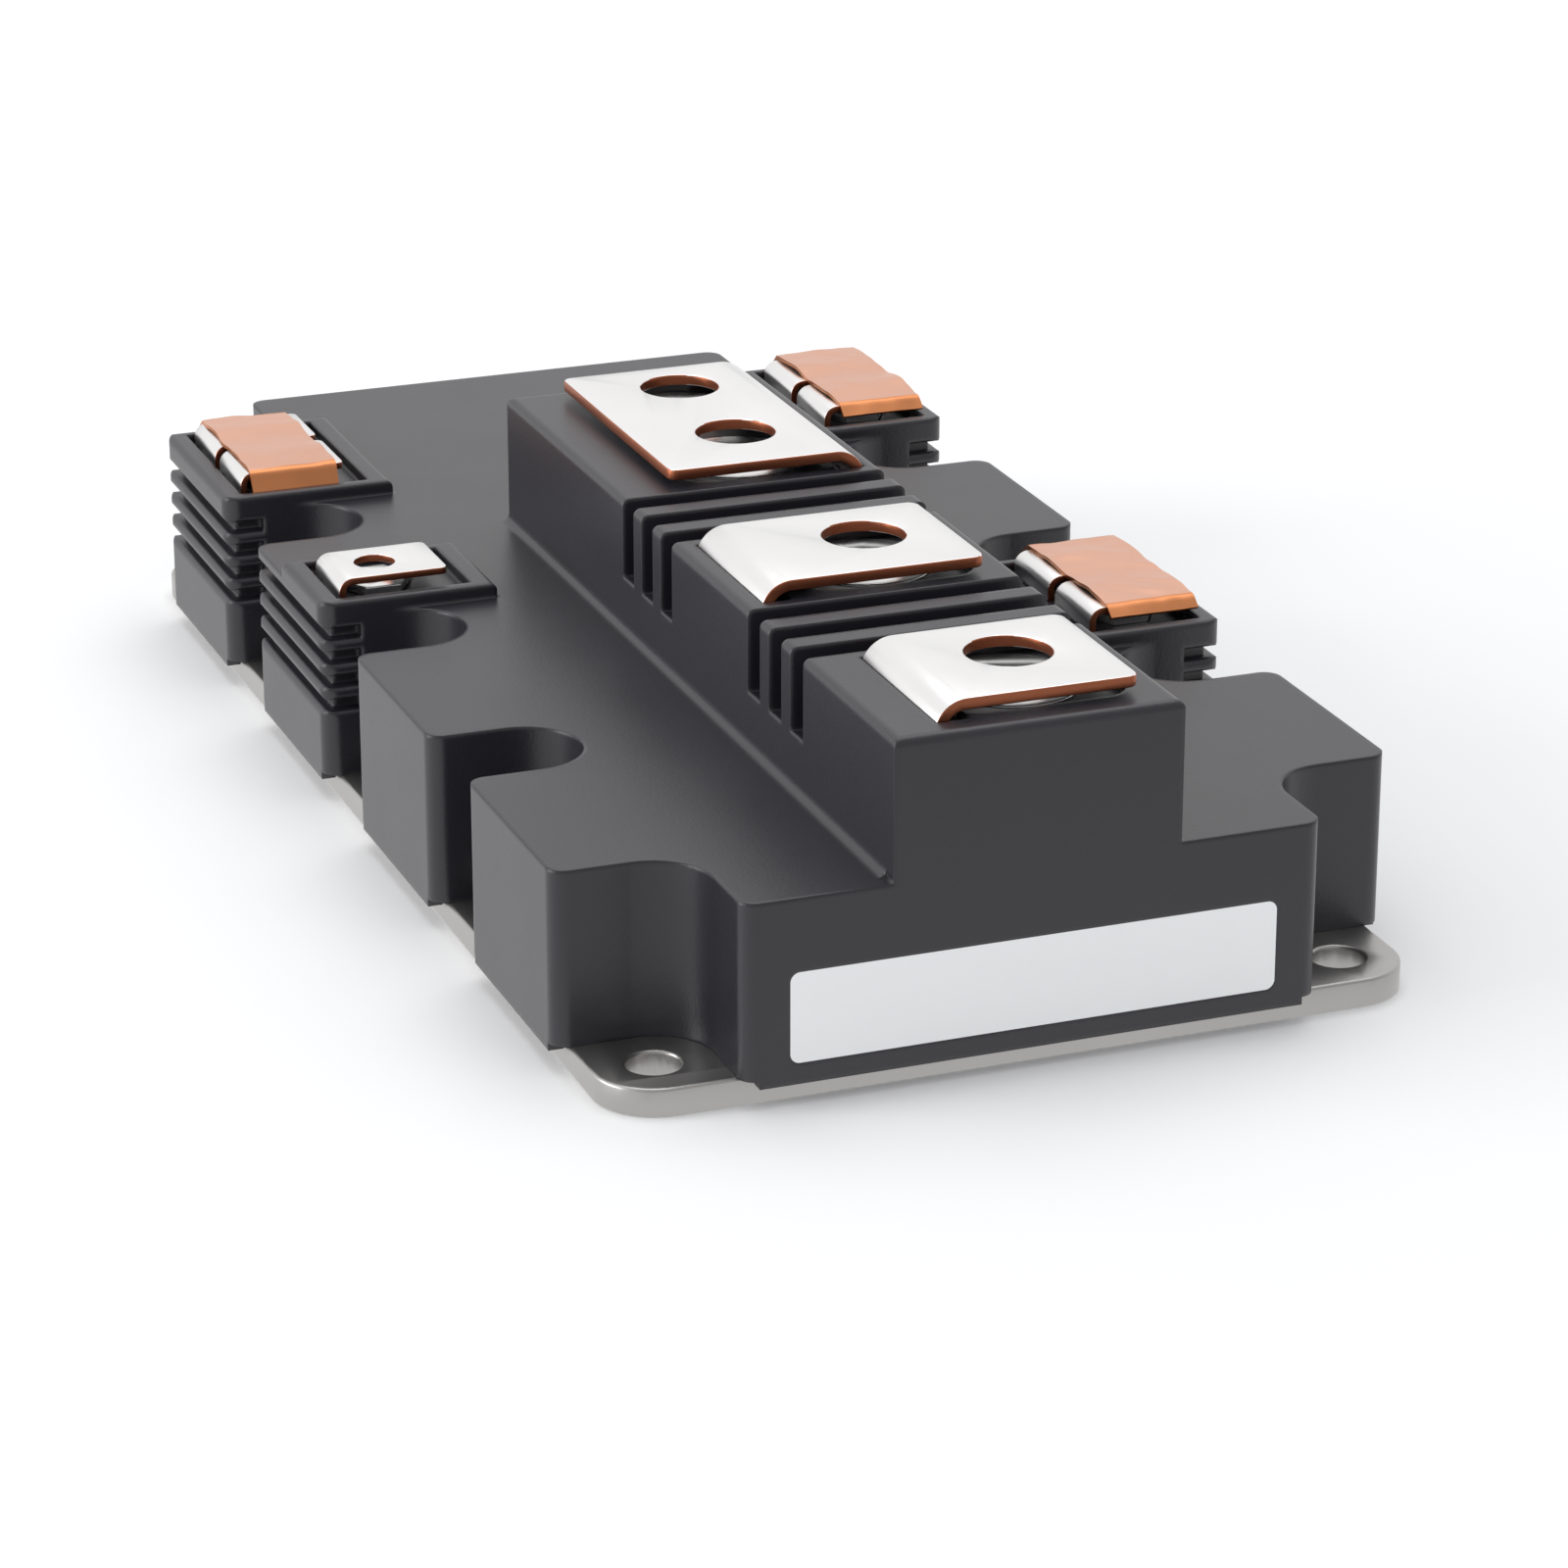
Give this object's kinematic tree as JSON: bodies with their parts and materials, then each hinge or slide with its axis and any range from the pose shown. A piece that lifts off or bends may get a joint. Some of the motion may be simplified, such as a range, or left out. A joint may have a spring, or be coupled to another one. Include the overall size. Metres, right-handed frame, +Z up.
{
  "type": "half-bridge power semiconductor module",
  "caption": "Long flat power module with a dark ribbed plastic housing, a central terminal tower, copper screw terminals and a nickel-plated base plate.",
  "frame": {"origin": "centre of the base plate's underside, where it lies on the heat sink", "axes": "+Z up out of the heat sink, +Y along the housing away from the label end, +X to the right seen from the label end"},
  "size_m": [0.089, 0.172, 0.038],
  "materials": {
    "housing_plastic": "fine matt moulded plastic",
    "nickel_plate": "nickel-plated copper, satin",
    "tinned_copper": "tin-plated copper, bright",
    "nut_steel": "plated steel",
    "strap_copper": "bare copper sheet",
    "label": "printed film, left blank",
    "ceramic": "matt white ceramic",
    "circuit_copper": "bare copper",
    "silicon": "polished silicon",
    "solder": "solder and back copper",
    "wire": "drawn wire",
    "gel": "clear soft gel"
  },
  "bodies": {
    "root": {"base_plate": "nickel_plate", "housing": "housing_plastic", "dc_minus_terminal": "tinned_copper", "dc_plus_terminal": "tinned_copper", "ac_terminal": "tinned_copper", "power_nut_1": "nut_steel", "power_nut_2": "nut_steel", "power_nut_3": "nut_steel", "power_nut_4": "nut_steel", "signal_tab_1": "tinned_copper", "signal_tab_2": "tinned_copper", "signal_tab_3": "tinned_copper", "signal_tab_4": "tinned_copper", "signal_tab_5": "tinned_copper", "signal_tab_6": "tinned_copper", "signal_tab_7": "tinned_copper", "signal_nut_1": "nut_steel", "signal_nut_2": "nut_steel", "signal_nut_3": "nut_steel", "signal_nut_4": "nut_steel", "signal_nut_5": "nut_steel", "signal_nut_6": "nut_steel", "signal_nut_7": "nut_steel", "shorting_strap_1": "strap_copper", "shorting_strap_2": "strap_copper", "shorting_strap_3": "strap_copper", "front_label": "label", "substrate_1": "ceramic", "substrate_2": "ceramic", "substrate_3": "ceramic", "substrate_4": "ceramic", "substrate_5": "ceramic", "substrate_6": "ceramic", "circuit_copper_1": "circuit_copper", "circuit_copper_2": "circuit_copper", "circuit_copper_3": "circuit_copper", "circuit_copper_4": "circuit_copper", "circuit_copper_5": "circuit_copper", "circuit_copper_6": "circuit_copper", "switch_chips_1": "silicon", "switch_chips_2": "silicon", "switch_chips_3": "silicon", "switch_chips_4": "silicon", "switch_chips_5": "silicon", "switch_chips_6": "silicon", "diode_chips_1": "silicon", "diode_chips_2": "silicon", "diode_chips_3": "silicon", "diode_chips_4": "silicon", "diode_chips_5": "silicon", "diode_chips_6": "silicon", "substrate_solder": "solder", "temperature_sensor": "silicon", "bond_wires": "wire", "silicone_gel": "gel"}
  },
  "joints": []
}
